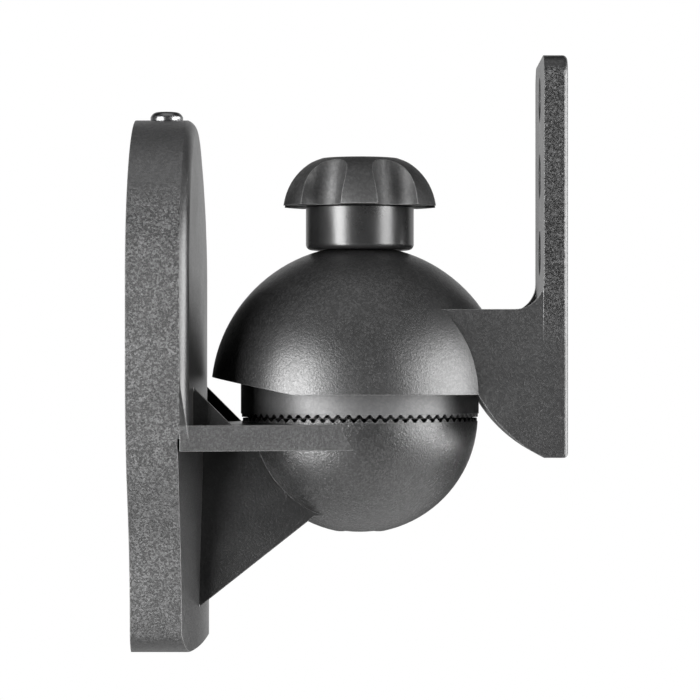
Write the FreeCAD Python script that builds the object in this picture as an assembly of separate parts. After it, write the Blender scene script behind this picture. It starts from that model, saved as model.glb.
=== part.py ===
import FreeCAD, Part
import math
import os

V = FreeCAD.Vector
os.makedirs("parts", exist_ok=True)

# A wall bracket for a small loudspeaker, in millimetres.
# X = 0 is the wall, Y = 0 the middle plane, Z = 0 the level of the tilt axis.
# +X points out of the wall to the loudspeaker, and +Z is up.

# Clamp axis
axis_x = 46.5                   # upright clamp bolt, from the wall
swivel_fit = 0.08               # gap between the bolt and what turns on it
moving_gap = 0.3                # gap between curved faces that slide past each other
tilt_limit = 10.0               # degrees either way

# Base: an arch over a waisted foot, with a crowned front
base_top = 57.0
base_bottom = -52.5
arch_radius = 34.0
straight_side_end = 5.0
foot_half_width = 20.5
foot_corner_radius = 5.0
least_corner_radius = 0.6       # of the foot corners inside the wall
upper_crown_depth = 14.3        # middle of the front face above the shelf, from the wall
crown_rise = 1.9                # of its broad part, over the width of the arch
edge_depth = 10.8               # side edge of the front face, from the wall
edge_band = 2.4                 # width of the steep band along that edge
edge_band_bulge = 0.43
lower_crown_depth = 15.0        # middle of the front face below the shelf
lower_edge_depth = 10.2
lower_foot_radius = 4.8         # lower end of the front face
lower_section_count = 8
section_margin = 0.6            # sections, wider than the outline that trims them
base_wall = 2.6
cavity_depth = 10.4
root_sink = 0.4                 # shelf, ribs and webs start this far inside the front wall

# Shelf between the base and the ball, with its ribs and webs
shelf_top = -6.0
shelf_thickness = 5.2
shelf_root_half_width = 32.6
shelf_end_inset = 1.2           # edge of the shelf at the clamp axis, inside the cup
pin_mark_reach = 19.6           # round pin mark on the shelf, from the wall
pin_mark_offset = 18.6
pin_mark_radius = 1.8
pin_mark_width = 0.5
pin_mark_depth = 0.3
upper_rib_offset = 25.0         # middle of each rib, from the middle plane
upper_rib_thickness = 2.2
upper_rib_reach = 6.5           # length along the shelf and height up the base
web_spacing = 23.0              # over the outer faces of the two webs
web_thickness = 3.0
web_root_drop = 31.3            # height of the web at the base, below the shelf
web_end_drop = 13.8             # height of the web at the ball, below the shelf
web_end_reach = 37.2            # where the web's lower edge meets the ball, from the wall

# Lower cup of the ball
cup_step = 0.2                  # cup, smaller than the disc above it
cup_centre_z = -4.4
cup_wall = 3.0
cup_boss_radius = 8.5
cup_boss_drop = 0.6             # top of the boss, below the teeth
cup_rib_count = 6
cup_rib_thickness = 1.8
cup_rib_drop = 3.0              # top of each inner rib, below the teeth

# Ring of teeth between the cup and the disc
tooth_line_z = -4.8
tooth_count = 72
tooth_height = 0.7
tooth_tip_gap = 0.2             # clear of each other with the knob slackened
tooth_root_share = 0.82         # of the pitch
tooth_land_share = 0.16         # of the pitch
tooth_root_sink = 0.25          # each tooth is rooted this far into its ring
tooth_end_inset = 0.2           # each end of a tooth, inside the ring's edge

# Disc with the ball seat
disc_inset = 3.2                # side of the disc, inside the dome's inner face
disc_rim_wall = 3.0
disc_wall = 3.4
disc_boss_radius = 7.0
disc_rib_count = 6
disc_rib_thickness = 1.8
spigot_gap = 0.5                # ring inside the teeth that centres the disc in the cup
spigot_wall = 1.4
spigot_reach = 1.6              # into the cup, below its teeth
spigot_rise = 1.4               # up inside the disc

# Dome
dome_radius = 31.0
dome_wall = 3.0
dome_relief_start = 13.3        # wall side of the axis, where the rim starts to rise
dome_relief_angle = 11.6        # degrees
dome_slot_gap = 0.5             # each side of the bolt

# Arm and loudspeaker plate
plate_reach = 42.4              # outer face, from the axis
plate_thickness = 4.9
plate_width = 38.8
plate_top = 69.3
plate_bottom = -12.8
plate_corner_radius = 4.5
plate_edge_radius = 1.0         # round its outer face
cheek_top = 17.4
cheek_thickness = 4.0
cheek_fillet = 6.0
belly_bulge = 1.45
belly_wall = 3.0
arm_rib_top = 10.4
arm_rib_thickness = 3.4
speaker_hole_diameter = 5.2
speaker_hole_count = 3
speaker_hole_spacing = 16.0
speaker_hole_margin = 8.0       # top hole, from the plate's top edge
speaker_sink_diameter = 9.6

# Clamp bolt, washer and nut
bolt_diameter = 6.0
bolt_in_knob = 6.9              # length of thread inside the knob
bolt_clearance = 0.2            # bolt in the cup
hex_across_flats = 10.0
hex_pocket_gap = 0.05
bolt_head_height = 4.0
bolt_head_recess = 1.0          # head, above the lowest point of the cup
bolt_end_chamfer = 0.8
washer_diameter = 14.0
washer_thickness = 1.2
washer_gap = 0.1
nut_height = 5.0

# Collar
collar_radius = 11.25
collar_height = 8.8
collar_drop = 1.0               # its flat underside, below the top of the dome
collar_edge_radius = 1.2

# Knob
knob_radius = 16.5
knob_height = 10.0
knob_flat_radius = 8.0
knob_bulge = 2.05               # of its side, between the rim and the flat top
knob_grip_count = 6
grip_radius = 4.7
grip_centre_radius = 15.8       # at the foot of the knob
grip_lean = 9.0                 # degrees inwards
knob_bore_room = 2.0            # room above the end of the bolt

# Lock screw and nut on top of the base
lock_screw_x = 6.25
lock_screw_diameter = 4.0
lock_screw_length = 12.0
lock_head_diameter = 6.8
lock_head_height = 2.0
lock_head_side = 1.0            # straight side of the head
lock_screw_chamfer = 0.5
lock_hole_gap = 0.25
lock_seat_drop = 0.25           # seat of the head, below the top of the arch
lock_nut_width = 7.0
lock_nut_thickness = 2.2
lock_nut_drop = 7.0             # top of the nut, below the seat of the head
cross_width = 0.9
cross_span = 3.6
cross_depth = 1.1
thread_gap = 0.05

# Wall plate
plate_gap = 0.3                 # between the wall plate and the base around it
wall_plate_thickness = 2.5
wall_plate_rim = 1.8
wall_hole_spacing = 64.0
wall_hole_diameter = 5.2
wall_hole_boss_radius = 6.5
wall_hole_boss_height = 6.0
wall_sink_diameter = 9.6
wall_rib_thickness = 2.0
nut_boss_half_width = 6.0
nut_boss_height = 10.5


# Values that follow from the sizes above
arch_z = base_top - arch_radius
foot_start_z = base_bottom + foot_corner_radius
shelf_bottom = shelf_top - shelf_thickness
shelf_middle = shelf_top - shelf_thickness / 2
disc_tip_z = tooth_line_z + tooth_tip_gap / 2
disc_root_z = disc_tip_z + tooth_height
cup_tip_z = tooth_line_z - tooth_tip_gap / 2
cup_root_z = cup_tip_z - tooth_height
dome_inner_radius = dome_radius - dome_wall
seat_radius = dome_inner_radius - moving_gap
disc_radius = dome_inner_radius - disc_inset
cup_radius = disc_radius - cup_step
cup_inner_radius = cup_radius - cup_wall
cup_bottom_z = cup_centre_z - cup_radius
shelf_end_half_width = cup_radius - shelf_end_inset
collar_bottom_z = dome_radius - collar_drop
collar_top_z = collar_bottom_z + collar_height
knob_base_z = collar_top_z + moving_gap
knob_top_z = knob_base_z + knob_height
bolt_radius = bolt_diameter / 2
bolt_seat_z = cup_bottom_z + bolt_head_recess + bolt_head_height
bolt_end_z = knob_base_z + bolt_in_knob
turning_bore = bolt_radius + swivel_fit
plate_front = axis_x + plate_reach
plate_back = plate_front - plate_thickness
plate_half = plate_width / 2
cheek_inner = plate_half - cheek_thickness
lock_seat_z = base_top - lock_seat_drop
lock_nut_top_z = lock_seat_z - lock_nut_drop
far = 200.0                     # larger than the bracket, for cutting blocks


# A closed flat face. A step is a point, or a pair: a point on an arc and the arc's end.
def outline_face(start, *steps):
    edges = []
    here = start
    for step in steps + (start,):
        if isinstance(step, tuple):
            middle, end = step
            edges.append(Part.Arc(here, middle, end).toShape())
        else:
            end = step
            if (end - here).Length > 1e-7:
                edges.append(Part.LineSegment(here, end).toShape())
        here = end
    return Part.Face(Part.Wire(edges))


def block(x0, x1, y0, y1, z0, z1):
    return Part.makeBox(x1 - x0, y1 - y0, z1 - z0, V(x0, y0, z0))


def post(radius, z0, z1, x=axis_x):
    return Part.makeCylinder(radius, z1 - z0, V(x, 0, z0), V(0, 0, 1))


def ball(radius, z=0.0):
    return Part.makeSphere(radius, V(axis_x, 0, z), V(0, 0, 1), -90, 90, 360)


# A point of a turned profile: its distance from the clamp axis, and its height
def rim(radius, z):
    return V(axis_x + radius, 0, z)


def turned(face, x=axis_x):
    return face.revolve(V(x, 0, 0), V(0, 0, 1), 360)


def turned_about_axis(shape, angle):
    copy = shape.copy()
    copy.rotate(V(axis_x, 0, 0), V(0, 0, 1), angle)
    return copy


def hex_prism(across_flats, z0, z1):
    corner = across_flats / math.sqrt(3)
    points = []
    for i in range(7):
        angle = math.radians(60 * i)
        points.append(V(axis_x + corner * math.cos(angle), corner * math.sin(angle), z0))
    return Part.Face(Part.makePolygon(points)).extrude(V(0, 0, z1 - z0))


def mirrored(shape):
    return shape.mirror(V(0, 0, 0), V(0, 1, 0))


# Half of the base's outline, drawn inside it by an even inset: the points of its right side,
# from the middle of the foot up to the spring of the arch. The waist is two equal arcs.
def base_side_points(inset, x):
    waist_in = arch_radius - foot_half_width
    waist_drop = straight_side_end - foot_start_z
    waist_radius = (waist_in ** 2 + waist_drop ** 2) / (4 * waist_in)
    turn = math.asin(waist_drop / (2 * waist_radius))
    upper_y = arch_radius - waist_radius
    lower_y = foot_half_width + waist_radius
    corner = max(foot_corner_radius - inset, least_corner_radius)
    corner_z = base_bottom + inset + corner
    lower_turn = math.asin((corner_z - foot_start_z) / (waist_radius + inset))

    def upper(angle):
        radius = waist_radius - inset
        return V(x, upper_y + radius * math.cos(angle), straight_side_end - radius * math.sin(angle))

    def lower(angle):
        radius = waist_radius + inset
        return V(x, lower_y - radius * math.cos(angle), foot_start_z + radius * math.sin(angle))

    foot_end = lower(lower_turn)
    bend = corner * (1 - math.sqrt(0.5))
    return {
        "foot": V(x, foot_end.y - corner, base_bottom + inset),
        "corner": V(x, foot_end.y - bend, base_bottom + inset + bend),
        "foot_end": foot_end,
        "lower": lower((lower_turn + turn) / 2),
        "waist": lower(turn),
        "upper": upper(turn / 2),
        "side": upper(0),
        "spring": V(x, arch_radius - inset, arch_z),
    }


def across(point):
    return V(point.x, -point.y, point.z)


def base_outline(inset, x):
    p = base_side_points(inset, x)
    return outline_face(
        across(p["foot"]),
        p["foot"],
        (p["corner"], p["foot_end"]),
        (p["lower"], p["waist"]),
        (p["upper"], p["side"]),
        p["spring"],
        (V(x, 0, base_top - inset), across(p["spring"])),
        across(p["side"]),
        (across(p["upper"]), across(p["waist"])),
        (across(p["lower"]), across(p["foot_end"])),
        (across(p["corner"]), across(p["foot"])),
    )


# Half the width of the outline at a height in the waist or the foot
def base_half_width(z):
    waist_in = arch_radius - foot_half_width
    waist_drop = straight_side_end - foot_start_z
    waist_radius = (waist_in ** 2 + waist_drop ** 2) / (4 * waist_in)
    if z > (straight_side_end + foot_start_z) / 2:
        drop = straight_side_end - z
        return arch_radius - waist_radius + math.sqrt(waist_radius ** 2 - drop ** 2)
    rise = max(z - foot_start_z, 0)
    return foot_half_width + waist_radius - math.sqrt(waist_radius ** 2 - rise ** 2)


# Above the shelf one front profile, with a steep band along its edge, is turned through the
# arch and carried straight down the sides.
def upper_front():
    crown_radius = (arch_radius ** 2 + crown_rise ** 2) / (2 * crown_rise)
    band_start = arch_radius - edge_band

    def depth(reach):
        return upper_crown_depth - crown_radius + math.sqrt(crown_radius ** 2 - reach ** 2)

    chord = V(edge_depth - depth(band_start), arch_radius - band_start, 0)
    middle = V(depth(band_start), band_start, 0) + chord * 0.5
    middle += V(chord.y, -chord.x, 0).normalize() * edge_band_bulge
    half = outline_face(
        V(0, 0, 0),
        V(upper_crown_depth, 0, 0),
        (V(depth(band_start / 2), band_start / 2, 0), V(depth(band_start), band_start, 0)),
        (middle, V(edge_depth, arch_radius, 0)),
        V(0, arch_radius, 0),
    )
    half.translate(V(0, 0, arch_z))
    arch = half.revolve(V(0, 0, arch_z), V(1, 0, 0), 180)
    sides = half.fuse(mirrored(half)).extrude(V(0, 0, shelf_middle - arch_z))
    return arch.fuse(sides)


# Below the shelf the front face is one arc across at each height, and its foot is rounded.
def lower_front():
    sections = []
    for i in range(lower_section_count):
        z = shelf_middle + 1 - i * (shelf_middle + 2 - base_bottom) / (lower_section_count - 1)
        half = base_half_width(z) + section_margin
        sections.append(outline_face(
            V(0, -half, z),
            V(lower_edge_depth, -half, z),
            (V(lower_crown_depth, 0, z), V(lower_edge_depth, half, z)),
            V(0, half, z),
        ).OuterWire)
    body = Part.makeLoft(sections, True)
    r = lower_foot_radius
    bend = r * (1 - math.sqrt(0.5))
    front = lower_crown_depth + section_margin
    y = -far / 2
    side = outline_face(
        V(0, y, shelf_middle),
        V(0, y, base_bottom),
        V(front - r, y, base_bottom),
        (V(front - bend, y, base_bottom + bend), V(front, y, base_bottom + r)),
        V(front, y, shelf_middle),
    )
    return body.common(side.extrude(V(0, far, 0)))


def base_shell():
    front = upper_front().fuse(lower_front())
    body = front.common(base_outline(0, 0).extrude(V(far, 0, 0)))
    cavity = base_outline(base_wall, -1).extrude(V(cavity_depth + 1, 0, 0))
    return body.cut(cavity)


def shelf():
    root = cavity_depth + root_sink
    face = outline_face(
        V(root, -shelf_root_half_width, shelf_bottom),
        V(axis_x, -shelf_end_half_width, shelf_bottom),
        V(axis_x, shelf_end_half_width, shelf_bottom),
        V(root, shelf_root_half_width, shelf_bottom),
    )
    return face.extrude(V(0, 0, shelf_thickness))


# The ring that an ejector pin leaves on the shelf
def pin_mark():
    foot = V(pin_mark_reach, -pin_mark_offset, shelf_top - pin_mark_depth)
    ring = Part.makeCylinder(pin_mark_radius, far, foot)
    return ring.cut(Part.makeCylinder(pin_mark_radius - pin_mark_width, far, foot))


# A small triangle that stiffens the corner between the shelf and the base
def upper_rib():
    y = upper_rib_offset - upper_rib_thickness / 2
    root = cavity_depth + root_sink
    tip = upper_crown_depth + upper_rib_reach
    face = outline_face(
        V(root, y, shelf_middle),
        V(tip, y, shelf_middle),
        V(tip, y, shelf_top),
        V(root, y, shelf_top + tip - root),
    )
    return face.extrude(V(0, upper_rib_thickness, 0))


# A gusset web from the foot of the base to the underside of the cup
def lower_web():
    y = web_spacing / 2 - web_thickness
    root = cavity_depth + root_sink
    slope = (web_root_drop - web_end_drop) / (web_end_reach - lower_crown_depth)
    foot = shelf_bottom - web_root_drop - slope * (lower_crown_depth - root)
    tip = shelf_bottom - web_end_drop
    face = outline_face(
        V(root, y, shelf_middle),
        V(root, y, foot),
        V(web_end_reach, y, tip),
        V(axis_x, y, tip),
        V(axis_x, y, shelf_middle),
    )
    return face.extrude(V(0, web_thickness, 0))


def cup_solid():
    top_radius = math.sqrt(cup_radius ** 2 - (cup_root_z - cup_centre_z) ** 2)
    half = math.sqrt(0.5) * cup_radius
    face = outline_face(
        rim(0, cup_bottom_z),
        (rim(half, cup_centre_z - half), rim(top_radius, cup_root_z)),
        rim(0, cup_root_z),
    )
    return turned(face)


def cup_cavity():
    hollow = ball(cup_inner_radius, cup_centre_z)
    hollow = hollow.common(block(0, far, -far, far, -far, cup_root_z + 1))
    hollow = hollow.cut(post(cup_boss_radius, cup_bottom_z, cup_root_z - cup_boss_drop))
    rib_top = cup_root_z - cup_rib_drop
    half = cup_rib_thickness / 2
    rib = block(axis_x, axis_x + cup_radius, -half, half, cup_bottom_z, rib_top)
    for i in range(cup_rib_count):
        hollow = hollow.cut(turned_about_axis(rib, 360 * (i + 0.5) / cup_rib_count))
    return hollow


# Radial teeth that stand on a ring, up or down. Each is a wedge that widens outwards.
def teeth(inner, outer, root_z, up, phase):
    side = 1 if up else -1
    half_pitch = math.radians(180 / tooth_count)

    def section(radius):
        root = radius * math.sin(half_pitch) * tooth_root_share
        land = radius * math.sin(half_pitch) * tooth_land_share
        x = axis_x + radius
        low = root_z - side * tooth_root_sink
        points = [
            V(x, -root, low),
            V(x, root, low),
            V(x, root, root_z),
            V(x, land, root_z + side * tooth_height),
            V(x, -land, root_z + side * tooth_height),
            V(x, -root, root_z),
        ]
        return Part.makePolygon(points + points[:1])

    tooth = Part.makeLoft([section(inner), section(outer)], True, True)
    ring = []
    for i in range(tooth_count):
        ring.append(turned_about_axis(tooth, 360 * (i + phase) / tooth_count))
    return ring


def base_arm():
    webs = [upper_rib(), mirrored(upper_rib()), lower_web(), mirrored(lower_web())]
    body = base_shell().multiFuse([shelf(), cup_solid()] + webs)
    body = body.cut(cup_cavity())
    body = body.cut(post(bolt_radius + bolt_clearance, -far, far))
    pocket = hex_prism(hex_across_flats + 2 * hex_pocket_gap, -far, bolt_seat_z)
    body = body.cut(pocket)
    hole_radius = lock_screw_diameter / 2 + lock_hole_gap
    body = body.cut(post(hole_radius, lock_nut_top_z, far, lock_screw_x))
    seat_radius_here = lock_head_diameter / 2 + lock_hole_gap
    body = body.cut(post(seat_radius_here, lock_seat_z, far, lock_screw_x))
    body = body.cut(pin_mark())
    inner = cup_inner_radius + tooth_end_inset
    ring = teeth(inner, cup_radius - tooth_end_inset, cup_root_z, True, 0.0)
    return body.multiFuse(ring).removeSplitter()


def wall_plate():
    edge = base_wall + plate_gap
    body = base_outline(edge, 0).extrude(V(cavity_depth, 0, 0))
    tray = base_outline(edge + wall_plate_rim, wall_plate_thickness).extrude(V(far, 0, 0))
    middle_z = (base_top + base_bottom) / 2
    boss_top = base_top - edge
    tray = tray.cut(
        block(0, far, -nut_boss_half_width, nut_boss_half_width, boss_top - nut_boss_height, far)
    )
    half = wall_hole_spacing / 2
    boss_x = wall_plate_thickness + wall_hole_boss_height
    rib_x = wall_plate_thickness + wall_hole_boss_height / 2
    half_rib = wall_rib_thickness / 2
    tray = tray.cut(block(0, rib_x, -half_rib, half_rib, middle_z - half, boss_top))
    holes = []
    for side in (-1, 1):
        z = middle_z + side * half
        foot = V(0, 0, z)
        tray = tray.cut(Part.makeCylinder(wall_hole_boss_radius, boss_x, foot, V(1, 0, 0)))
        holes.append(Part.makeCylinder(wall_hole_diameter / 2, far, foot, V(1, 0, 0)))
        sink = (wall_sink_diameter - wall_hole_diameter) / 2
        holes.append(
            Part.makeCone(wall_hole_diameter / 2, wall_sink_diameter / 2, sink,
                          V(boss_x - sink, 0, z), V(1, 0, 0))
        )
    body = body.cut(tray)
    for hole in holes:
        body = body.cut(hole)
    body = body.cut(post(lock_screw_diameter / 2 + lock_hole_gap, -far, far, lock_screw_x).common(
        block(0, far, -far, far, boss_top - nut_boss_height - 1, far)))
    half_nut = lock_nut_width / 2 + thread_gap
    pocket = block(lock_screw_x - half_nut, far, -half_nut, half_nut,
                   lock_nut_top_z - lock_nut_thickness - thread_gap, lock_nut_top_z)
    return body.cut(pocket)


def lock_screw():
    head_radius = lock_head_diameter / 2
    shank_radius = lock_screw_diameter / 2
    x = lock_screw_x
    z = lock_seat_z
    top = z + lock_head_height
    end_z = z - lock_screw_length
    rise = lock_head_height - lock_head_side
    crown = (head_radius ** 2 + rise ** 2) / (2 * rise)
    middle_z = top - crown + math.sqrt(crown ** 2 - (head_radius / 2) ** 2)
    face = outline_face(
        V(x, 0, end_z),
        V(x + shank_radius - lock_screw_chamfer, 0, end_z),
        V(x + shank_radius, 0, end_z + lock_screw_chamfer),
        V(x + shank_radius, 0, z),
        V(x + head_radius, 0, z),
        V(x + head_radius, 0, z + lock_head_side),
        (V(x + head_radius / 2, 0, middle_z), V(x, 0, top)),
    )
    body = turned(face, x)
    for span_x, span_y in ((cross_span, cross_width), (cross_width, cross_span)):
        slot = block(x - span_x / 2, x + span_x / 2, -span_y / 2, span_y / 2, top - cross_depth, far)
        body = body.cut(slot)
    return body


def lock_nut():
    half = lock_nut_width / 2
    z0 = lock_nut_top_z - lock_nut_thickness
    body = block(lock_screw_x - half, lock_screw_x + half, -half, half, z0, lock_nut_top_z)
    return body.cut(post(lock_screw_diameter / 2 + thread_gap, -far, far, lock_screw_x))


def clamp_bolt():
    head_z = bolt_seat_z - bolt_head_height
    head = hex_prism(hex_across_flats, head_z, bolt_seat_z)
    corner = hex_across_flats / math.sqrt(3)
    flat = hex_across_flats / 2
    rise = (corner - flat) * math.tan(math.radians(30))
    crown = outline_face(
        rim(0, head_z),
        rim(flat, head_z),
        rim(corner, head_z + rise),
        rim(corner, bolt_seat_z),
        rim(0, bolt_seat_z),
    )
    head = head.common(turned(crown))
    shank = outline_face(
        rim(0, bolt_seat_z - 1),
        rim(bolt_radius, bolt_seat_z - 1),
        rim(bolt_radius, bolt_end_z - bolt_end_chamfer),
        rim(bolt_radius - bolt_end_chamfer, bolt_end_z),
        rim(0, bolt_end_z),
    )
    return head.fuse(turned(shank)).removeSplitter()


# A point on a ball about the tilt axis, at a distance from the clamp axis
def on_ball(ball_radius, radius):
    return rim(radius, math.sqrt(ball_radius ** 2 - radius ** 2))


def toothed_disc():
    inner_ball = seat_radius - disc_wall
    inner_rim = disc_radius - disc_rim_wall
    spigot = cup_inner_radius - spigot_gap
    spigot_end = cup_root_z - spigot_reach
    face = outline_face(
        rim(turning_bore, disc_root_z),
        rim(disc_boss_radius, disc_root_z),
        on_ball(inner_ball, disc_boss_radius),
        (on_ball(inner_ball, (disc_boss_radius + inner_rim) / 2), on_ball(inner_ball, inner_rim)),
        rim(inner_rim, disc_root_z + spigot_rise),
        rim(spigot - spigot_wall, disc_root_z + spigot_rise),
        rim(spigot - spigot_wall, spigot_end),
        rim(spigot, spigot_end),
        rim(spigot, disc_root_z),
        rim(disc_radius, disc_root_z),
        on_ball(seat_radius, disc_radius),
        (on_ball(seat_radius, (disc_radius + turning_bore) / 2), on_ball(seat_radius, turning_bore)),
    )
    body = turned(face)
    half = disc_rib_thickness / 2
    rib = block(axis_x + (turning_bore + disc_boss_radius) / 2, axis_x + inner_rim + disc_rim_wall / 2,
                -half, half, disc_root_z + tooth_height, seat_radius)
    rib = rib.common(ball((inner_ball + seat_radius) / 2))
    ribs = []
    for i in range(disc_rib_count):
        ribs.append(turned_about_axis(rib, 360 * i / disc_rib_count))
    inner = inner_rim + tooth_end_inset
    ring = teeth(inner, disc_radius - tooth_end_inset, disc_root_z, False, 0.5)
    return body.multiFuse(ribs + ring).removeSplitter()


# The belly: an arc from the dome's rim down to the foot of the plate
def belly_points(y):
    start = V(axis_x + math.sqrt(dome_radius ** 2 - plate_half ** 2), y, 0)
    end = V(plate_back, y, plate_bottom)
    chord = end - start
    outward = V(chord.z, 0, -chord.x).normalize()
    middle = (start + end) * 0.5 + outward * belly_bulge
    return start, middle, end


def arm_block():
    y = -plate_half
    start, middle, end = belly_points(y)
    inner_x = axis_x + dome_inner_radius / 2
    fillet = cheek_fillet
    soft = fillet * (1 - math.sqrt(0.5))
    face = outline_face(
        V(inner_x, y, 0),
        start,
        (middle, end),
        V(plate_front, y, plate_bottom),
        V(plate_front, y, plate_top),
        V(plate_back, y, plate_top),
        V(plate_back, y, cheek_top + fillet),
        (V(plate_back - soft, y, cheek_top + soft), V(plate_back - fillet, y, cheek_top)),
        V(inner_x, y, cheek_top),
    )
    return face.extrude(V(0, plate_width, 0))


# The plate's outline from the front, to round its top corners
def plate_outline():
    r = plate_corner_radius
    bend = r * (1 - math.sqrt(0.5))
    face = outline_face(
        V(0, -plate_half, plate_bottom),
        V(0, plate_half, plate_bottom),
        V(0, plate_half, plate_top - r),
        (V(0, plate_half - bend, plate_top - bend), V(0, plate_half - r, plate_top)),
        V(0, r - plate_half, plate_top),
        (V(0, bend - plate_half, plate_top - bend), V(0, -plate_half, plate_top - r)),
    )
    return face.extrude(V(far, 0, 0))


# One pocket between the middle rib and a cheek, open above, with the belly as its floor
def arm_pocket():
    start, middle, end = belly_points(0)
    circle = Part.Arc(start, middle, end).toShape().Curve
    centre = circle.Center
    y0 = arm_rib_thickness / 2
    depth = cheek_inner - y0
    pocket = Part.makeCylinder(circle.Radius - belly_wall, depth, V(centre.x, y0, centre.z), V(0, 1, 0))
    return pocket.common(block(axis_x, plate_back, y0, cheek_inner, -far, arm_rib_top + 1))


def dome():
    shell = ball(dome_radius).common(block(-far, far, -far, far, 0, far))
    start = axis_x - dome_relief_start
    rise = math.tan(math.radians(dome_relief_angle)) * dome_radius
    relief = outline_face(
        V(start, -far, -1),
        V(start, -far, 0),
        V(start - dome_radius, -far, rise),
        V(start - dome_radius, -far, -1),
    )
    return shell.cut(relief.extrude(V(0, 2 * far, 0)))


def speaker_arm():
    body = arm_block().common(plate_outline())
    outer = [edge for edge in body.Edges if edge.BoundBox.XMin > plate_front - 0.01]
    body = body.makeFillet(plate_edge_radius, outer)
    body = body.cut(block(-far, plate_back, -cheek_inner, cheek_inner, arm_rib_top, far))
    body = body.cut(arm_pocket())
    body = body.cut(mirrored(arm_pocket()))
    body = body.fuse(dome()).cut(ball(dome_inner_radius))
    half_width = bolt_radius + dome_slot_gap
    half_length = half_width + dome_radius * math.sin(math.radians(tilt_limit))
    slot = block(axis_x - half_length + half_width, axis_x + half_length - half_width,
                 -half_width, half_width, 0, dome_radius + 1)
    for side in (-1, 1):
        slot = slot.fuse(
            post(half_width, 0, dome_radius + 1, axis_x + side * (half_length - half_width))
        )
    body = body.cut(slot)
    for i in range(speaker_hole_count):
        z = plate_top - speaker_hole_margin - i * speaker_hole_spacing
        hole = Part.makeCylinder(speaker_hole_diameter / 2, far, V(plate_back, 0, z), V(1, 0, 0))
        sink = (speaker_sink_diameter - speaker_hole_diameter) / 2
        cone = Part.makeCone(speaker_sink_diameter / 2, speaker_hole_diameter / 2, sink,
                             V(plate_back, 0, z), V(1, 0, 0))
        body = body.cut(hole).cut(cone)
    return body.removeSplitter()


def pressure_collar():
    saddle = dome_radius + moving_gap
    edge = collar_edge_radius
    bend = edge * (1 - math.sqrt(0.5))
    low = collar_bottom_z
    saddle_end = math.sqrt(saddle ** 2 - low ** 2)
    face = outline_face(
        on_ball(saddle, turning_bore),
        (on_ball(saddle, (turning_bore + saddle_end) / 2), rim(saddle_end, low)),
        rim(collar_radius - edge, low),
        (rim(collar_radius - bend, low + bend), rim(collar_radius, low + edge)),
        rim(collar_radius, collar_top_z),
        rim(washer_diameter / 2 + washer_gap, collar_top_z),
        rim(washer_diameter / 2 + washer_gap, collar_top_z - washer_thickness),
        rim(turning_bore, collar_top_z - washer_thickness),
    )
    return turned(face)


def clamp_washer():
    z0 = collar_top_z - washer_thickness
    ring = post(washer_diameter / 2, z0, collar_top_z)
    return ring.cut(post(bolt_radius + bolt_clearance, z0, collar_top_z))


def clamp_knob():
    chord = rim(knob_flat_radius, knob_top_z) - rim(knob_radius, knob_base_z)
    middle = rim(knob_radius, knob_base_z) + chord * 0.5
    middle += V(chord.z, 0, -chord.x).normalize() * knob_bulge
    face = outline_face(
        rim(0, knob_base_z),
        rim(knob_radius, knob_base_z),
        (middle, rim(knob_flat_radius, knob_top_z)),
        rim(0, knob_top_z),
    )
    body = turned(face)
    grip = post(grip_radius, knob_base_z - 5, knob_top_z + 5, axis_x + grip_centre_radius)
    grip.rotate(rim(grip_centre_radius, knob_base_z), V(0, 1, 0), -grip_lean)
    for i in range(knob_grip_count):
        body = body.cut(turned_about_axis(grip, 360 * i / knob_grip_count))
    nut_top = knob_base_z + nut_height
    body = body.cut(hex_prism(hex_across_flats + 2 * hex_pocket_gap, knob_base_z - 1, nut_top))
    return body.cut(post(bolt_radius + bolt_clearance, knob_base_z, bolt_end_z + knob_bore_room))


def knob_nut():
    body = hex_prism(hex_across_flats, knob_base_z, knob_base_z + nut_height)
    return body.cut(post(bolt_radius + thread_gap, knob_base_z - 1, knob_top_z))


pieces = {
    "wall_plate": wall_plate,
    "base_arm": base_arm,
    "lock_screw": lock_screw,
    "lock_nut": lock_nut,
    "clamp_bolt": clamp_bolt,
    "toothed_disc": toothed_disc,
    "speaker_arm": speaker_arm,
    "pressure_collar": pressure_collar,
    "clamp_washer": clamp_washer,
    "clamp_knob": clamp_knob,
    "knob_nut": knob_nut,
}

for name, make in pieces.items():
    shape = make()
    shape.exportStep("parts/" + name + ".step")
    print(name, shape.isValid(), len(shape.Solids), round(shape.Volume / 1000, 2), "cm3")
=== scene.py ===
import math

import bpy
from mathutils import Matrix, Vector


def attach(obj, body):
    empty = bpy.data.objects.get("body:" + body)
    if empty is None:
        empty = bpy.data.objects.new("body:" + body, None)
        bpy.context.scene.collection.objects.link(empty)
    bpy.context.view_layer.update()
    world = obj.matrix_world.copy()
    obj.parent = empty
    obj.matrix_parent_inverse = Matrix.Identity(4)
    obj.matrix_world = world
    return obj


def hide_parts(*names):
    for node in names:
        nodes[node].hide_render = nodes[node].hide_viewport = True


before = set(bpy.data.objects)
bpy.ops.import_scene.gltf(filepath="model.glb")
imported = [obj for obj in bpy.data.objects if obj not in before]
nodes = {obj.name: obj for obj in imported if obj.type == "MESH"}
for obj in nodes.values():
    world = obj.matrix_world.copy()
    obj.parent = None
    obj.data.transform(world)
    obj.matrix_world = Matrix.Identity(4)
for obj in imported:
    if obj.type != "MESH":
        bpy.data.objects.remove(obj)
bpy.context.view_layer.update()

# Metres. +X points out of the wall, +Z up, and the camera looks along +Y.
mm = 0.001
boltX = 46.5 * mm
ballCentre = (boltX, 0, -4.4 * mm)
mergeDistance = 0.002 * mm
facingDown = -0.9
print("stage: frame loaded")


def deselectAll():
    if bpy.context.object and bpy.context.object.mode != "OBJECT":
        bpy.ops.object.mode_set(mode="OBJECT")
    bpy.ops.object.select_all(action="DESELECT")


def makeActive(piece):
    deselectAll()
    piece.select_set(True)
    bpy.context.view_layer.objects.active = piece


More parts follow.
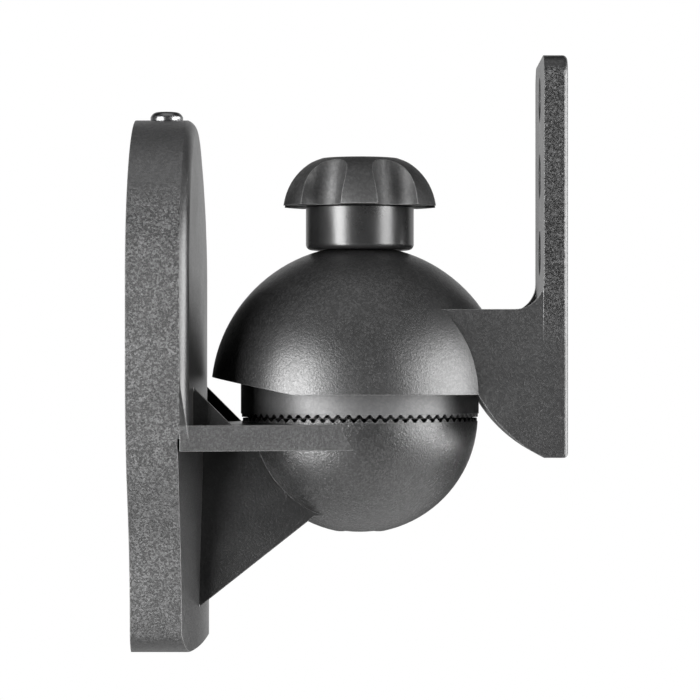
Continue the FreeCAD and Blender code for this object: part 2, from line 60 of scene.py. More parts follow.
def named(name):
    piece = bpy.context.object
    piece.name = name
    piece.data.name = name
    return piece


def applyModifiers(piece):
    makeActive(piece)
    for modifier in list(piece.modifiers):
        bpy.ops.object.modifier_apply(modifier=modifier.name)


# Moves the place and the turn of a piece into its mesh, and mends its normals.
def settle(piece, smoothAngle):
    makeActive(piece)
    bpy.ops.object.transform_apply(location=True, rotation=True, scale=True)
    bpy.ops.object.mode_set(mode="EDIT")
    bpy.ops.mesh.select_all(action="SELECT")
    bpy.ops.mesh.remove_doubles(threshold=mergeDistance)
    bpy.ops.mesh.normals_make_consistent(inside=False)
    bpy.ops.object.mode_set(mode="OBJECT")
    bpy.ops.object.shade_smooth_by_angle(angle=math.radians(smoothAngle))


def cutWith(piece, tool):
    modifier = piece.modifiers.new("cut", "BOOLEAN")
    modifier.operation = "DIFFERENCE"
    modifier.solver = "EXACT"
    modifier.object = tool
    applyModifiers(piece)
    bpy.data.objects.remove(tool)


def softenEdges(piece, width, segments, angle):
    modifier = piece.modifiers.new("soft edges", "BEVEL")
    modifier.width = width
    modifier.segments = segments
    modifier.limit_method = "ANGLE"
    modifier.angle_limit = math.radians(angle)
    applyModifiers(piece)


# A round piece on an upright axis: a disc, extruded and scaled ring by ring.
# Each ring is a radius and a height.
def roundPiece(name, rings, centreX, steps):
    deselectAll()
    radius, height = rings[0]
    bpy.ops.mesh.primitive_circle_add(
        vertices=steps, radius=radius, fill_type="NGON", location=(centreX, 0, height))
    piece = named(name)
    bpy.ops.object.transform_apply(location=True, rotation=True, scale=True)
    bpy.ops.object.mode_set(mode="EDIT")
    bpy.ops.mesh.select_all(action="SELECT")
    for nextRadius, nextHeight in rings[1:]:
        bpy.ops.mesh.extrude_region_move(
            TRANSFORM_OT_translate={"value": (0, 0, nextHeight - height)})
        share = nextRadius / radius
        bpy.ops.transform.resize(
            value=(share, share, 1), center_override=(centreX, 0, nextHeight))
        radius, height = nextRadius, nextHeight
    bpy.ops.mesh.select_all(action="SELECT")
    bpy.ops.mesh.normals_make_consistent(inside=False)
    bpy.ops.object.mode_set(mode="OBJECT")
    return piece


# Points on a shallow curve between two corners of an outline, in millimetres, as rings in metres
def sideArc(start, end, bulge, count):
    chord = Vector(end) - Vector(start)
    outward = Vector((chord.y, -chord.x)).normalized()
    points = []
    for i in range(count + 1):
        share = i / count
        points.append(Vector(start) + chord * share + outward * bulge * 4 * share * (1 - share))
    return [(p.x * mm, p.y * mm) for p in points]


# Nodes, for materials and for the world

def newMaterial(name):
    material = bpy.data.materials.new(name)
    material.use_nodes = True
    return material


def addNode(owner, kind, **settings):
    node = owner.node_tree.nodes.new(kind)
    for key, value in settings.items():
        setattr(node, key, value)
    return node


def link(owner, source, target):
    owner.node_tree.links.new(source, target)


def objectPlace(material):
    return addNode(material, "ShaderNodeTexCoord").outputs["Object"]


def noiseNode(material, scale, detail, roughness):
    node = addNode(material, "ShaderNodeTexNoise")
    node.inputs["Scale"].default_value = scale
    node.inputs["Detail"].default_value = detail
    node.inputs["Roughness"].default_value = roughness
    link(material, objectPlace(material), node.inputs["Vector"])
    return node.outputs["Fac"]


# Cells with a chance value each, as the grains of a spark eroded mould
def grainCells(material, scale):
    node = addNode(material, "ShaderNodeTexVoronoi")
    node.inputs["Scale"].default_value = scale
    link(material, objectPlace(material), node.inputs["Vector"])
    parts = addNode(material, "ShaderNodeSeparateColor")
    link(material, node.outputs["Color"], parts.inputs[0])
    return parts.outputs[0]


def mapped(owner, value, low, high, toLow=0.0, toHigh=1.0):
    node = addNode(owner, "ShaderNodeMapRange")
    node.clamp = True
    node.inputs["From Min"].default_value = low
    node.inputs["From Max"].default_value = high
    node.inputs["To Min"].default_value = toLow
    node.inputs["To Max"].default_value = toHigh
    link(owner, value, node.inputs["Value"])
    return node.outputs["Result"]


def maths(owner, operation, first, second):
    node = addNode(owner, "ShaderNodeMath", operation=operation)
    for socket, value in ((node.inputs[0], first), (node.inputs[1], second)):
        if isinstance(value, (int, float)):
            socket.default_value = value
        else:
            link(owner, value, socket)
    return node.outputs[0]


def unsigned(owner, value):
    return maths(owner, "ABSOLUTE", value, 0)


# The product of several masks
def allOf(material, *masks):
    product = masks[0]
    for mask in masks[1:]:
        product = maths(material, "MULTIPLY", product, mask)
    return product


def mixedValue(material, factor, first, second):
    node = addNode(material, "ShaderNodeMix", data_type="FLOAT")
    link(material, factor, node.inputs[0])
    link(material, first, node.inputs[2])
    link(material, second, node.inputs[3])
    return node.outputs[0]


def mixedColour(material, factor, first, second):
    node = addNode(material, "ShaderNodeMix", data_type="RGBA")
    link(material, factor, node.inputs["Factor"])
    colours = [s for s in node.inputs if s.type == "RGBA"]
    for socket, value in zip(colours, (first, second)):
        if isinstance(value, tuple):
            socket.default_value = (*value, 1)
        else:
            link(material, value, socket)
    return [s for s in node.outputs if s.type == "RGBA"][0]


# A grey with a trace of blue
def grey(tone, blue=1.0):
    return (tone, tone, tone * blue)


edgeSizes = {
    "bevelSamples": 4, "cornerSamples": 6, "cornerReach": 2.0,
    "innerCorner": 0.97, "outerCorner": 0.80, "flat": 0.985, "sharp": 0.80,
}


# How much an outer edge is rounded off at a place: 0 on a flat face, 1 right on a sharp edge.
# The occlusion seen from inside tells outer edges from inner corners, which are left as they are.
def edgeMask(material, radius):
    sizes = edgeSizes
    rounded = addNode(material, "ShaderNodeBevel", samples=sizes["bevelSamples"])
    rounded.inputs["Radius"].default_value = radius
    geometry = addNode(material, "ShaderNodeNewGeometry")
    dot = addNode(material, "ShaderNodeVectorMath", operation="DOT_PRODUCT")
    link(material, rounded.outputs["Normal"], dot.inputs[0])
    link(material, geometry.outputs["Normal"], dot.inputs[1])
    corner = addNode(material, "ShaderNodeAmbientOcclusion", samples=sizes["cornerSamples"],
                     only_local=True, inside=True)
    corner.inputs["Distance"].default_value = sizes["cornerReach"] * radius
    outer = mapped(material, corner.outputs["AO"], sizes["innerCorner"], sizes["outerCorner"])
    normal = addNode(material, "ShaderNodeMix", data_type="VECTOR")
    link(material, outer, normal.inputs["Factor"])
    vectors = [s for s in normal.inputs if s.type == "VECTOR" and s.enabled]
    link(material, geometry.outputs["Normal"], vectors[-2])
    link(material, rounded.outputs["Normal"], vectors[-1])
    mixed = [s for s in normal.outputs if s.type == "VECTOR"][0]
    edge = mapped(material, dot.outputs["Value"], sizes["flat"], sizes["sharp"])
    return maths(material, "MULTIPLY", edge, outer), mixed


def linkBump(material, normal, height, depth):
    bump = addNode(material, "ShaderNodeBump")
    bump.inputs["Strength"].default_value = 1.0
    bump.inputs["Distance"].default_value = depth
    link(material, normal, bump.inputs["Normal"])
    link(material, height, bump.inputs["Height"])
    shader = material.node_tree.nodes["Principled BSDF"]
    link(material, bump.outputs["Normal"], shader.inputs["Normal"])


# How clouds, relief and two sizes of grain are mixed in every moulded finish
grainMix = {
    "cloudDetail": 3.0, "cloudRoughness": 0.6, "cloudLow": 0.3, "cloudHigh": 0.7, "cloudFade": 0.7,
    "reliefDetail": 2.0, "reliefRoughness": 0.5, "reliefHeight": 0.1 * mm,
    "coarseShare": 0.6, "fineShare": 0.4, "fineScale": 1.8,
    "fleckLow": 0.35, "fleckHigh": 0.85, "dullSpeck": 0.2, "shinySpeck": 0.8,
    "darkBlue": 1.02, "brightBlue": 1.01, "plainSpecular": 0.5,
}


# One finish: its colour, its roughness and the height of its grain, each as a node output
def finishNodes(material, settings):
    mix = grainMix
    tone = settings["tone"]
    scale = settings["grainScale"]
    cloudSpan = (mix["cloudLow"], mix["cloudHigh"])
    cloud = noiseNode(material, settings["cloudScale"], mix["cloudDetail"], mix["cloudRoughness"])
    relief = noiseNode(material, settings["reliefScale"], mix["reliefDetail"],
                       mix["reliefRoughness"])
    coarse = maths(material, "MULTIPLY", grainCells(material, scale), mix["coarseShare"])
    fine = maths(material, "MULTIPLY", grainCells(material, scale * mix["fineScale"]),
                 mix["fineShare"])
    speck = maths(material, "ADD", coarse, fine)
    fleck = maths(material, "MULTIPLY",
                  mapped(material, speck, mix["fleckLow"], mix["fleckHigh"]),
                  mapped(material, cloud, *cloudSpan, mix["cloudFade"], 1.0))
    colour = mixedColour(material, fleck, grey(tone, mix["darkBlue"]),
                         grey(tone * settings["toneRange"], mix["brightBlue"]))
    rough = mapped(material, cloud, *cloudSpan, settings["roughLow"], settings["roughHigh"])
    change = mapped(material, speck, mix["dullSpeck"], mix["shinySpeck"],
                    settings["roughFleck"], -settings["roughFleck"])
    rough = maths(material, "ADD", rough, change)
    height = maths(material, "ADD", maths(material, "MULTIPLY", relief, settings["reliefDepth"]),
                   maths(material, "MULTIPLY", speck, settings["grainDepth"]))
    return colour, rough, height


# A moulded plastic with a painted highlight along its outer edges. Each zone is a further finish
# and the place it covers.
def mouldedPlastic(name, settings, zones=()):
    material = newMaterial(name)
    shader = material.node_tree.nodes["Principled BSDF"]
    specular = settings.get("specular", grainMix["plainSpecular"])
    shader.inputs["Specular IOR Level"].default_value = specular
    colour, rough, height = finishNodes(material, settings)
    for finish, place in zones:
        factor = place(material)
        zoneColour, zoneRough, zoneHeight = finishNodes(material, finish)
        colour = mixedColour(material, factor, colour, zoneColour)
        rough = mixedValue(material, factor, rough, zoneRough)
        height = mixedValue(material, factor, height, zoneHeight)
    edge, normal = edgeMask(material, settings["edgeRadius"])
    # Painted highlight: outer edges are coloured a lighter grey, where rounded edges would catch
    # the light.
    colour = mixedColour(material, edge, colour, grey(settings["edgeHighlightTone"]))
    link(material, colour, shader.inputs["Base Color"])
    shine = maths(material, "MULTIPLY", edge, settings["edgeShine"])
    link(material, maths(material, "SUBTRACT", rough, shine), shader.inputs["Roughness"])
    linkBump(material, normal, height, grainMix["reliefHeight"])
    return material


# How clouds and grain are mixed in both plated steels
steelMix = {
    "cloudDetail": 4.0, "grainDetail": 3.0, "roughness": 0.6, "cloudLow": 0.35, "cloudHigh": 0.65,
    "grainLow": 0.3, "grainHigh": 0.7, "dullShare": 0.7, "dullBlue": 0.71 / 0.7, "blue": 1.01,
}


def platedSteel(name, settings):
    material = newMaterial(name)
    shader = material.node_tree.nodes["Principled BSDF"]
    shader.inputs["Metallic"].default_value = 1.0
    mix = steelMix
    tone = settings["tone"]
    cloud = noiseNode(material, settings["cloudScale"], mix["cloudDetail"], mix["roughness"])
    grain = noiseNode(material, settings["grainScale"], mix["grainDetail"], mix["roughness"])
    colour = mixedColour(material, mapped(material, cloud, mix["cloudLow"], mix["cloudHigh"]),
                         grey(tone * mix["dullShare"], mix["dullBlue"]), grey(tone, mix["blue"]))
    edge, normal = edgeMask(material, settings["edgeRadius"])
    # Painted highlight: outer edges are coloured a lighter grey, where rounded edges would catch
    # the light.
    colour = mixedColour(material, edge, colour, grey(settings["edgeHighlightTone"]))
    link(material, colour, shader.inputs["Base Color"])
    rough = mapped(material, grain, mix["grainLow"], mix["grainHigh"],
                   settings["roughLow"], settings["roughHigh"])
    link(material, rough, shader.inputs["Roughness"])
    linkBump(material, normal, grain, settings["grainDepth"] * mm)
    return material


# Zones: masks that say where a further finish lies on a piece

def placeParts(material):
    parts = addNode(material, "ShaderNodeSeparateXYZ")
    link(material, objectPlace(material), parts.inputs[0])
    return parts.outputs


def normalParts(material):
    parts = addNode(material, "ShaderNodeSeparateXYZ")
    link(material, addNode(material, "ShaderNodeTexCoord").outputs["Normal"], parts.inputs[0])
    return parts.outputs


def smallerThan(material, value, limit, soften):
    return mapped(material, value, limit - soften, limit + soften, 1.0, 0.0)


def largerThan(material, value, limit, soften):
    return mapped(material, value, limit - soften, limit + soften)


# Where each zone ends, and over what distance or what change of the normal it fades
zoneSizes = {
    "placeSoft": 0.05 * mm, "turnSoft": 0.05,
    "wallDepth": 10.75 * mm, "wallTurn": 0.86, "wallTurnSoft": 0.09,
    "footTop": -49.0 * mm, "footSoft": 4.5 * mm,
    "archDepth": 14.0 * mm, "archDepthSoft": 1.0 * mm, "archTurn": 0.6, "archTurnSoft": 0.35,
    "archFoot": 10.0 * mm, "archFootSoft": 5.0 * mm,
    "backDepth": 0.3 * mm, "backTurn": -0.8,
    "ballInside": 24.3 * mm, "ballOutside": 24.64 * mm, "ballOutsideSoft": 0.02 * mm,
    "ballStart": 21.0 * mm,
    "shelfTurn": 0.5, "shelfSide": 22.8 * mm, "shelfTop": -6.0 * mm, "shelfStart": 10.8 * mm,
    "shelfBottom": -11.3 * mm,
    "plateStart": 83.9 * mm, "plateFoot": 14.0 * mm, "plateFootSoft": 6.0 * mm, "plateTurn": 0.93,
}


# The flat of the base's outer side wall is spark eroded. Its grain fades at the arch and the foot.
def wallZone(material):
    place, normal, sizes = placeParts(material), normalParts(material), zoneSizes
    return allOf(
        material,
        smallerThan(material, place["X"], sizes["wallDepth"], sizes["placeSoft"]),
        largerThan(material, unsigned(material, normal["Y"]), sizes["wallTurn"],
                   sizes["wallTurnSoft"]),
        largerThan(material, place["Z"], sizes["footTop"], sizes["footSoft"]))


# Round the arch the side wall turns up and is plain, and painted lighter than the front: a painted
# sheen where the top turns up toward the light.
def archPaintedLightZone(material):
    place, normal, sizes = placeParts(material), normalParts(material), zoneSizes
    return allOf(
        material,
        smallerThan(material, unsigned(material, normal["X"]), sizes["archTurn"],
                    sizes["archTurnSoft"]),
        largerThan(material, place["Z"], sizes["archFoot"], sizes["archFootSoft"]),
        smallerThan(material, place["X"], sizes["archDepth"], sizes["archDepthSoft"]))


# The open back of the base, which rests on the wall, is dull.
def backZone(material):
    place, normal, sizes = placeParts(material), normalParts(material), zoneSizes
    return allOf(
        material,
        smallerThan(material, place["X"], sizes["backDepth"], sizes["placeSoft"]),
        smallerThan(material, normal["X"], sizes["backTurn"], sizes["turnSoft"]))


# The outside of the lower half of the ball is spark eroded too, but finer.
def ballZone(material):
    place, sizes = placeParts(material), zoneSizes
    distance = addNode(material, "ShaderNodeVectorMath", operation="DISTANCE")
    link(material, objectPlace(material), distance.inputs[0])
    distance.inputs[1].default_value = ballCentre
    reach = distance.outputs["Value"]
    return allOf(
        material,
        largerThan(material, reach, sizes["ballInside"], sizes["placeSoft"]),
        smallerThan(material, reach, sizes["ballOutside"], sizes["ballOutsideSoft"]),
        largerThan(material, place["X"], sizes["ballStart"], sizes["placeSoft"]))


# So is the outer side of the shelf.
def shelfZone(material):
    place, normal, sizes = placeParts(material), normalParts(material), zoneSizes
    soft = sizes["placeSoft"]
    return allOf(
        material,
        largerThan(material, unsigned(material, normal["Y"]), sizes["shelfTurn"],
                   sizes["turnSoft"]),
        largerThan(material, unsigned(material, place["Y"]), sizes["shelfSide"], soft),
        smallerThan(material, place["Z"], sizes["shelfTop"], soft),
        largerThan(material, place["Z"], sizes["shelfBottom"], soft),
        largerThan(material, place["X"], sizes["shelfStart"], soft))


# The narrow side faces of the plate are spark eroded, the cheeks and the dome are not.
def plateZone(material):
    place, normal, sizes = placeParts(material), normalParts(material), zoneSizes
    return allOf(
        material,
        largerThan(material, place["X"], sizes["plateStart"], sizes["placeSoft"]),
        largerThan(material, unsigned(material, normal["Y"]), sizes["plateTurn"],
                   sizes["turnSoft"]),
        largerThan(material, place["Z"], sizes["plateFoot"], sizes["plateFootSoft"]))


# The edge tone of a finish is the colour of the painted highlight along its outer edges.
sparkFinish = {
    "tone": 0.002, "toneRange": 30.0,
    "cloudScale": 90, "grainScale": 2700, "reliefScale": 1900,
    "roughLow": 0.38, "roughHigh": 0.46, "roughFleck": 0.06,
    "reliefDepth": 0.6, "grainDepth": 0.9,
}
ballFinish = {
    "tone": 0.001, "toneRange": 18.0,
    "cloudScale": 90, "grainScale": 2700, "reliefScale": 2600,
    "roughLow": 0.31, "roughHigh": 0.37, "roughFleck": 0.06,
    "reliefDepth": 0.75, "grainDepth": 0.2,
}
shelfFinish = {
    "tone": 0.006, "toneRange": 5.0,
    "cloudScale": 90, "grainScale": 2500, "reliefScale": 1500,
    "roughLow": 0.38, "roughHigh": 0.44, "roughFleck": 0.05,
    "reliefDepth": 0.6, "grainDepth": 0.4,
}
plateSparkFinish = {
    "tone": 0.001, "toneRange": 44.0,
    "cloudScale": 90, "grainScale": 2500, "reliefScale": 1900,
    "roughLow": 0.29, "roughHigh": 0.35, "roughFleck": 0.08,
    "reliefDepth": 0.7, "grainDepth": 0.9,
}
smoothFinish = {
    "tone": 0.003, "toneRange": 3.2,
    "cloudScale": 110, "grainScale": 2400, "reliefScale": 1800,
    "roughLow": 0.31, "roughHigh": 0.37, "roughFleck": 0.02,
    "reliefDepth": 0.3, "grainDepth": 0.10,
    "edgeRadius": 0.30 * mm, "edgeHighlightTone": 0.10, "edgeShine": 0.06,
}
domeFinish = {
    "tone": 0.007, "toneRange": 3.2,
    "cloudScale": 80, "grainScale": 2600, "reliefScale": 2500,
    "roughLow": 0.34, "roughHigh": 0.40, "roughFleck": 0.04,
    "reliefDepth": 0.5, "grainDepth": 0.15,
    "edgeRadius": 0.30 * mm, "edgeHighlightTone": 0.09, "edgeShine": 0.06,
}
# Painted light: a lighter tone than the smooth finish, standing for the sheen on the upturned top
# of the arch.
archPaintedLightFinish = {
    "tone": 0.021, "toneRange": 1.7,
    "cloudScale": 90, "grainScale": 2500, "reliefScale": 1500,
    "roughLow": 0.37, "roughHigh": 0.43, "roughFleck": 0.03,
    "reliefDepth": 0.5, "grainDepth": 0.2,
}
dullFinish = {
    "tone": 0.008, "toneRange": 1.8,
    "cloudScale": 70, "grainScale": 1900, "reliefScale": 900,
    "roughLow": 0.64, "roughHigh": 0.74, "roughFleck": 0.03,
    "reliefDepth": 0.4, "grainDepth": 0.10, "specular": 0.12,
    "edgeRadius": 0.30 * mm, "edgeHighlightTone": 0.06, "edgeShine": 0.04,
}
discFinish = {
    "tone": 0.030, "toneRange": 1.4,
    "cloudScale": 120, "grainScale": 2000, "reliefScale": 900,
    "roughLow": 0.46, "roughHigh": 0.54, "roughFleck": 0.02,
    "reliefDepth": 0.3, "grainDepth": 0.05,
    "edgeRadius": 0.20 * mm, "edgeHighlightTone": 0.06, "edgeShine": 0.05,
}
glossFinish = {
    "tone": 0.008, "toneRange": 1.5,
    "cloudScale": 140, "grainScale": 3000, "reliefScale": 1500,
    "roughLow": 0.27, "roughHigh": 0.33, "roughFleck": 0.01,
    "reliefDepth": 0.12, "grainDepth": 0.02,
    "edgeRadius": 0.25 * mm, "edgeHighlightTone": 0.03, "edgeShine": 0.02,
}
knobFinish = {
    "tone": 0.009, "toneRange": 2.4,
    "cloudScale": 160, "grainScale": 2000, "reliefScale": 1200,
    "roughLow": 0.47, "roughHigh": 0.57, "roughFleck": 0.03,
    "reliefDepth": 0.6, "grainDepth": 0.10,
    "edgeRadius": 0.30 * mm, "edgeHighlightTone": 0.12, "edgeShine": 0.08,
}
zincPlate = {
    "tone": 0.55, "cloudScale": 300, "grainScale": 2500,
    "roughLow": 0.24, "roughHigh": 0.36, "grainDepth": 0.02,
    "edgeRadius": 0.15 * mm, "edgeHighlightTone": 0.75,
}
blackSteel = {
    "tone": 0.20, "cloudScale": 400, "grainScale": 3000,
    "roughLow": 0.26, "roughHigh": 0.36, "grainDepth": 0.01,
    "edgeRadius": 0.12 * mm, "edgeHighlightTone": 0.35,
}
materials = {
    "base": mouldedPlastic("basePlastic", smoothFinish, [
        (archPaintedLightFinish, archPaintedLightZone), (sparkFinish, wallZone), (shelfFinish, shelfZone),
        (ballFinish, ballZone), (dullFinish, backZone)]),
    "arm": mouldedPlastic("armPlastic", domeFinish, [(plateSparkFinish, plateZone)]),
    "plate": mouldedPlastic("platePlastic", dullFinish),
    "disc": mouldedPlastic("discPlastic", discFinish),
    "gloss": mouldedPlastic("glossPlastic", glossFinish),
    "knob": mouldedPlastic("knobPlastic", knobFinish),
    "zinc": platedSteel("zincPlate", zincPlate),
    "black": platedSteel("blackSteel", blackSteel),
}
print("stage: materials made")

wornBy = {
    "wall_plate": "plate", "base_arm": "base", "toothed_disc": "disc", "speaker_arm": "arm",
    "pressure_collar": "gloss", "clamp_knob": "knob", "lock_screw": "black",
    "lock_nut": "zinc", "clamp_bolt": "zinc", "clamp_washer": "zinc", "knob_nut": "zinc",
}
for node, finish in wornBy.items():
    for slot in nodes[node].material_slots:
        slot.material = materials[finish]
print("stage: materials worn")

# The knob, in millimetres: a round body with curved sides, six leaning grips and soft ridges
knobSizes = {
    "radius": 16.5, "base": 39.1, "height": 10.0, "flatRadius": 8.0, "bulge": 2.05,
    "sideSteps": 12, "steps": 120,
    "gripRadius": 4.7, "gripCentre": 15.8, "gripLean": 9.0, "gripCount": 6,
    "gripLength": 30.0, "gripSteps": 64,
    "pocketRadius": 5.83, "pocketDepth": 5.0, "pocketSides": 6,
    "boreRadius": 3.2, "boreTop": 48.0, "boreSteps": 48,
    "ridge": 0.45, "ridgeSegments": 3, "ridgeAngle": 28, "smoothAngle": 40,
}


# Cuts a hole of this depth into the knob from below.
def boreKnob(knob, name, radius, depth, steps):
    deselectAll()
    bpy.ops.mesh.primitive_cylinder_add(
        vertices=steps, radius=radius * mm, depth=2 * depth * mm,
        location=(boltX, 0, knobSizes["base"] * mm))
    cutWith(knob, named(name))


def makeKnob(sizes):
    base = sizes["base"]
    top = base + sizes["height"]
    side = sideArc((sizes["radius"], base), (sizes["flatRadius"], top), sizes["bulge"],
                   sizes["sideSteps"])
    knob = roundPiece("knob", side, boltX, sizes["steps"])
    lean = Matrix.Rotation(-math.radians(sizes["gripLean"]), 4, "Y")
    out = Matrix.Translation((sizes["gripCentre"] * mm, 0, 0))
    for i in range(sizes["gripCount"]):
        deselectAll()
        bpy.ops.mesh.primitive_cylinder_add(
            vertices=sizes["gripSteps"], radius=sizes["gripRadius"] * mm,
            depth=sizes["gripLength"] * mm)
        grip = named("grip")
        turn = Matrix.Rotation(math.tau * i / sizes["gripCount"], 4, "Z")
        grip.matrix_world = Matrix.Translation((boltX, 0, base * mm)) @ turn @ out @ lean
        cutWith(knob, grip)
    boreKnob(knob, "pocket", sizes["pocketRadius"], sizes["pocketDepth"], sizes["pocketSides"])
    boreKnob(knob, "bore", sizes["boreRadius"], sizes["boreTop"] - base, sizes["boreSteps"])
    softenEdges(knob, sizes["ridge"] * mm, sizes["ridgeSegments"], sizes["ridgeAngle"])
    settle(knob, sizes["smoothAngle"])
    knob.data.materials.append(materials["knob"])
    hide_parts("clamp_knob")
    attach(knob, "knob")


makeKnob(knobSizes)
print("stage: knob made")

# The lock screw, in millimetres: a round pan head on its shank, with a tapered cross recess
screwSizes = {
    "x": 6.25, "seat": 56.75, "headRadius": 3.4, "headHeight": 2.0, "sideHeight": 0.9,
    "crownFlat": 1.5, "crownBulge": 0.42, "crownSteps": 8, "steps": 64,
    "shankRadius": 2.0, "length": 12.0, "point": 0.5,
    "crossSpan": 3.6, "crossWidth": 0.9, "crossDepth": 1.2, "crossTaper": 0.6,
    "soft": 0.12, "softSegments": 2, "softAngle": 35, "smoothAngle": 40,
}


# One bar of the cross, narrower at its lower end
def crossBar(sizes, top, turn):
    deselectAll()
    bpy.ops.mesh.primitive_cube_add(size=1, location=(sizes["x"] * mm, 0, top * mm))
    bar = named("bar")
    bar.scale = (sizes["crossSpan"] * mm, sizes["crossWidth"] * mm, 2 * sizes["crossDepth"] * mm)
    bar.rotation_euler = (0, 0, math.radians(turn))
    makeActive(bar)
    bpy.ops.object.transform_apply(location=False, rotation=True, scale=True)
    bpy.ops.object.mode_set(mode="EDIT")
    bpy.ops.mesh.select_all(action="DESELECT")
    bpy.ops.object.mode_set(mode="OBJECT")
    for face in bar.data.polygons:
        face.select = face.normal.z < facingDown
    bpy.ops.object.mode_set(mode="EDIT")
    bpy.ops.transform.resize(value=(sizes["crossTaper"], sizes["crossTaper"], 1))
    bpy.ops.object.mode_set(mode="OBJECT")
    return bar


def makeLockScrew(sizes):
    seat = sizes["seat"]
    top = seat + sizes["headHeight"]
    end = seat - sizes["length"]
    shank = sizes["shankRadius"]
    point = sizes["point"]
    crown = sideArc((sizes["headRadius"], seat + sizes["sideHeight"]), (sizes["crownFlat"], top),
                    sizes["crownBulge"], sizes["crownSteps"])
    rings = [(shank - point, end), (shank, end + point), (shank, seat),
             (sizes["headRadius"], seat)]
    rings = [(r * mm, z * mm) for r, z in rings] + crown
    screw = roundPiece("lockScrew", rings, sizes["x"] * mm, sizes["steps"])
    for turn in (0, 90):
        cutWith(screw, crossBar(sizes, top, turn))
    softenEdges(screw, sizes["soft"] * mm, sizes["softSegments"], sizes["softAngle"])
    settle(screw, sizes["smoothAngle"])
    screw.data.materials.append(materials["black"])
    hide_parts("lock_screw")
    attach(screw, "base")


makeLockScrew(screwSizes)
print("stage: lock screw made")

# Studio: two large side lights, and a weak one above
studio = {
    "leftAzimuth": -48, "leftElevation": -5, "leftDistance": 0.45,
    "leftWidth": 0.28, "leftHeight": 0.50, "leftPower": 10.5,
    "rightAzimuth": 77, "rightElevation": 3, "rightDistance": 0.9,
    "rightWidth": 1.12, "rightHeight": 0.85, "rightPower": 42.0,
    "topForward": 0.2, "topHeight": 0.9, "topSize": 0.8, "topPower": 1.7,
}
middle = Vector((44.45 * mm, 0, 9.2 * mm))


def areaLight(name, place, width, height, power):
    lamp = bpy.data.lights.new(name, "AREA")
    lamp.shape = "RECTANGLE"
    lamp.size = width
    lamp.size_y = height
    lamp.energy = power
    light = bpy.data.objects.new(name, lamp)
    light.location = place
    light.rotation_euler = (middle - place).to_track_quat("-Z", "Y").to_euler()
    bpy.context.scene.collection.objects.link(light)


# A light at an azimuth from the camera's side, positive to the right, and an elevation
def sideLight(name):
    angle = math.radians(studio[name + "Azimuth"])
    rise = math.radians(studio[name + "Elevation"])
    direction = Vector((math.sin(angle) * math.cos(rise), -math.cos(angle) * math.cos(rise),
                        math.sin(rise)))
    areaLight(name + "Light", middle + studio[name + "Distance"] * direction,
              studio[name + "Width"], studio[name + "Height"], studio[name + "Power"])


sideLight("left")
sideLight("right")
areaLight("topLight", middle + Vector((0, -studio["topForward"], studio["topHeight"])),
          studio["topSize"], studio["topSize"], studio["topPower"])

# The world: white to the eye, a white backdrop behind the bracket in its gloss, dim elsewhere.
# The backdrop is where a direction points more away from the camera than up or down.
worldSizes = {
    "surround": 0.010, "backdropStart": 0.05, "backdropFull": 0.60, "backdropGloss": 0.8,
}


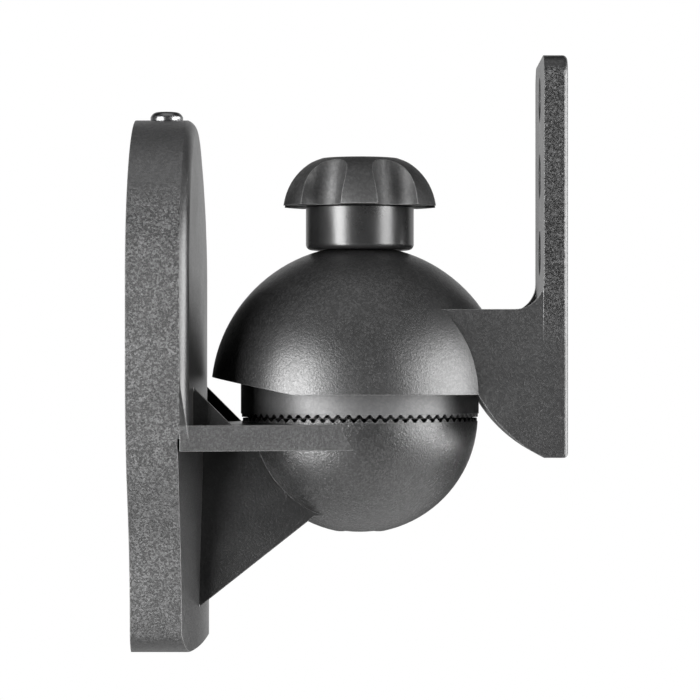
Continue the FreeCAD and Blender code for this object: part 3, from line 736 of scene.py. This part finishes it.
def makeWorld(sizes):
    world = bpy.data.worlds.new("surround")
    bpy.context.scene.world = world
    world.use_nodes = True
    dim = world.node_tree.nodes["Background"]
    dim.inputs["Color"].default_value = (1, 1, 1, 1)
    dim.inputs["Strength"].default_value = sizes["surround"]
    white = addNode(world, "ShaderNodeBackground")
    white.inputs["Color"].default_value = (1, 1, 1, 1)
    white.inputs["Strength"].default_value = 1.0
    direction = addNode(world, "ShaderNodeSeparateXYZ")
    link(world, addNode(world, "ShaderNodeTexCoord").outputs["Generated"], direction.inputs[0])
    away = maths(world, "SUBTRACT", direction.outputs["Y"],
                 unsigned(world, direction.outputs["Z"]))
    backdrop = mapped(world, away, sizes["backdropStart"], sizes["backdropFull"],
                      0.0, sizes["backdropGloss"])
    path = addNode(world, "ShaderNodeLightPath")
    gloss = maths(world, "MULTIPLY", path.outputs["Is Glossy Ray"], backdrop)
    seen = maths(world, "MAXIMUM", path.outputs["Is Camera Ray"],
                 path.outputs["Is Transmission Ray"])
    mix = addNode(world, "ShaderNodeMixShader")
    link(world, maths(world, "MAXIMUM", seen, gloss), mix.inputs["Fac"])
    link(world, dim.outputs["Background"], mix.inputs[1])
    link(world, white.outputs["Background"], mix.inputs[2])
    link(world, mix.outputs["Shader"], world.node_tree.nodes["World Output"].inputs["Surface"])


makeWorld(worldSizes)

# The floor: pale, and partly white to the eye, so that a shadow still shows on it
floorSizes = {"drop": 0.65, "size": 9.6, "tone": 0.9, "roughness": 0.8, "glow": 0.88}


def makeFloor(sizes):
    deselectAll()
    bpy.ops.mesh.primitive_plane_add(size=sizes["size"], location=(0, 0, -sizes["drop"]))
    floor = named("floor")
    material = newMaterial("paleFloor")
    pale = material.node_tree.nodes["Principled BSDF"]
    pale.inputs["Base Color"].default_value = (*grey(sizes["tone"]), 1)
    pale.inputs["Roughness"].default_value = sizes["roughness"]
    glow = addNode(material, "ShaderNodeEmission")
    glow.inputs["Strength"].default_value = 1.0
    path = addNode(material, "ShaderNodeLightPath")
    mix = addNode(material, "ShaderNodeMixShader")
    seen = maths(material, "MULTIPLY", path.outputs["Is Camera Ray"], sizes["glow"])
    link(material, seen, mix.inputs["Fac"])
    link(material, pale.outputs["BSDF"], mix.inputs[1])
    link(material, glow.outputs["Emission"], mix.inputs[2])
    output = material.node_tree.nodes["Material Output"]
    link(material, mix.outputs["Shader"], output.inputs["Surface"])
    floor.data.materials.append(material)


makeFloor(floorSizes)
print("stage: studio set")

# Camera: level, straight at the side of the bracket, and shifted to hold it in the middle
view = {
    "x": 50.5 * mm, "z": 5.7 * mm, "distance": 712 * mm, "frameWidth": 146 * mm,
    "sensor": 36, "clipStart": 0.05,
}
cameraData = bpy.data.cameras.new("camera")
cameraData.sensor_width = view["sensor"]
cameraData.lens = view["sensor"] * view["distance"] / view["frameWidth"]
cameraData.shift_x = (middle.x - view["x"]) / view["frameWidth"]
cameraData.shift_y = (middle.z - view["z"]) / view["frameWidth"]
cameraData.clip_start = view["clipStart"]
camera = bpy.data.objects.new("camera", cameraData)
camera.location = (view["x"], -view["distance"], view["z"])
camera.rotation_euler = (math.radians(90), 0, 0)
bpy.context.scene.collection.objects.link(camera)
bpy.context.scene.camera = camera
bpy.context.scene.view_settings.view_transform = "Standard"
print("stage: camera set")
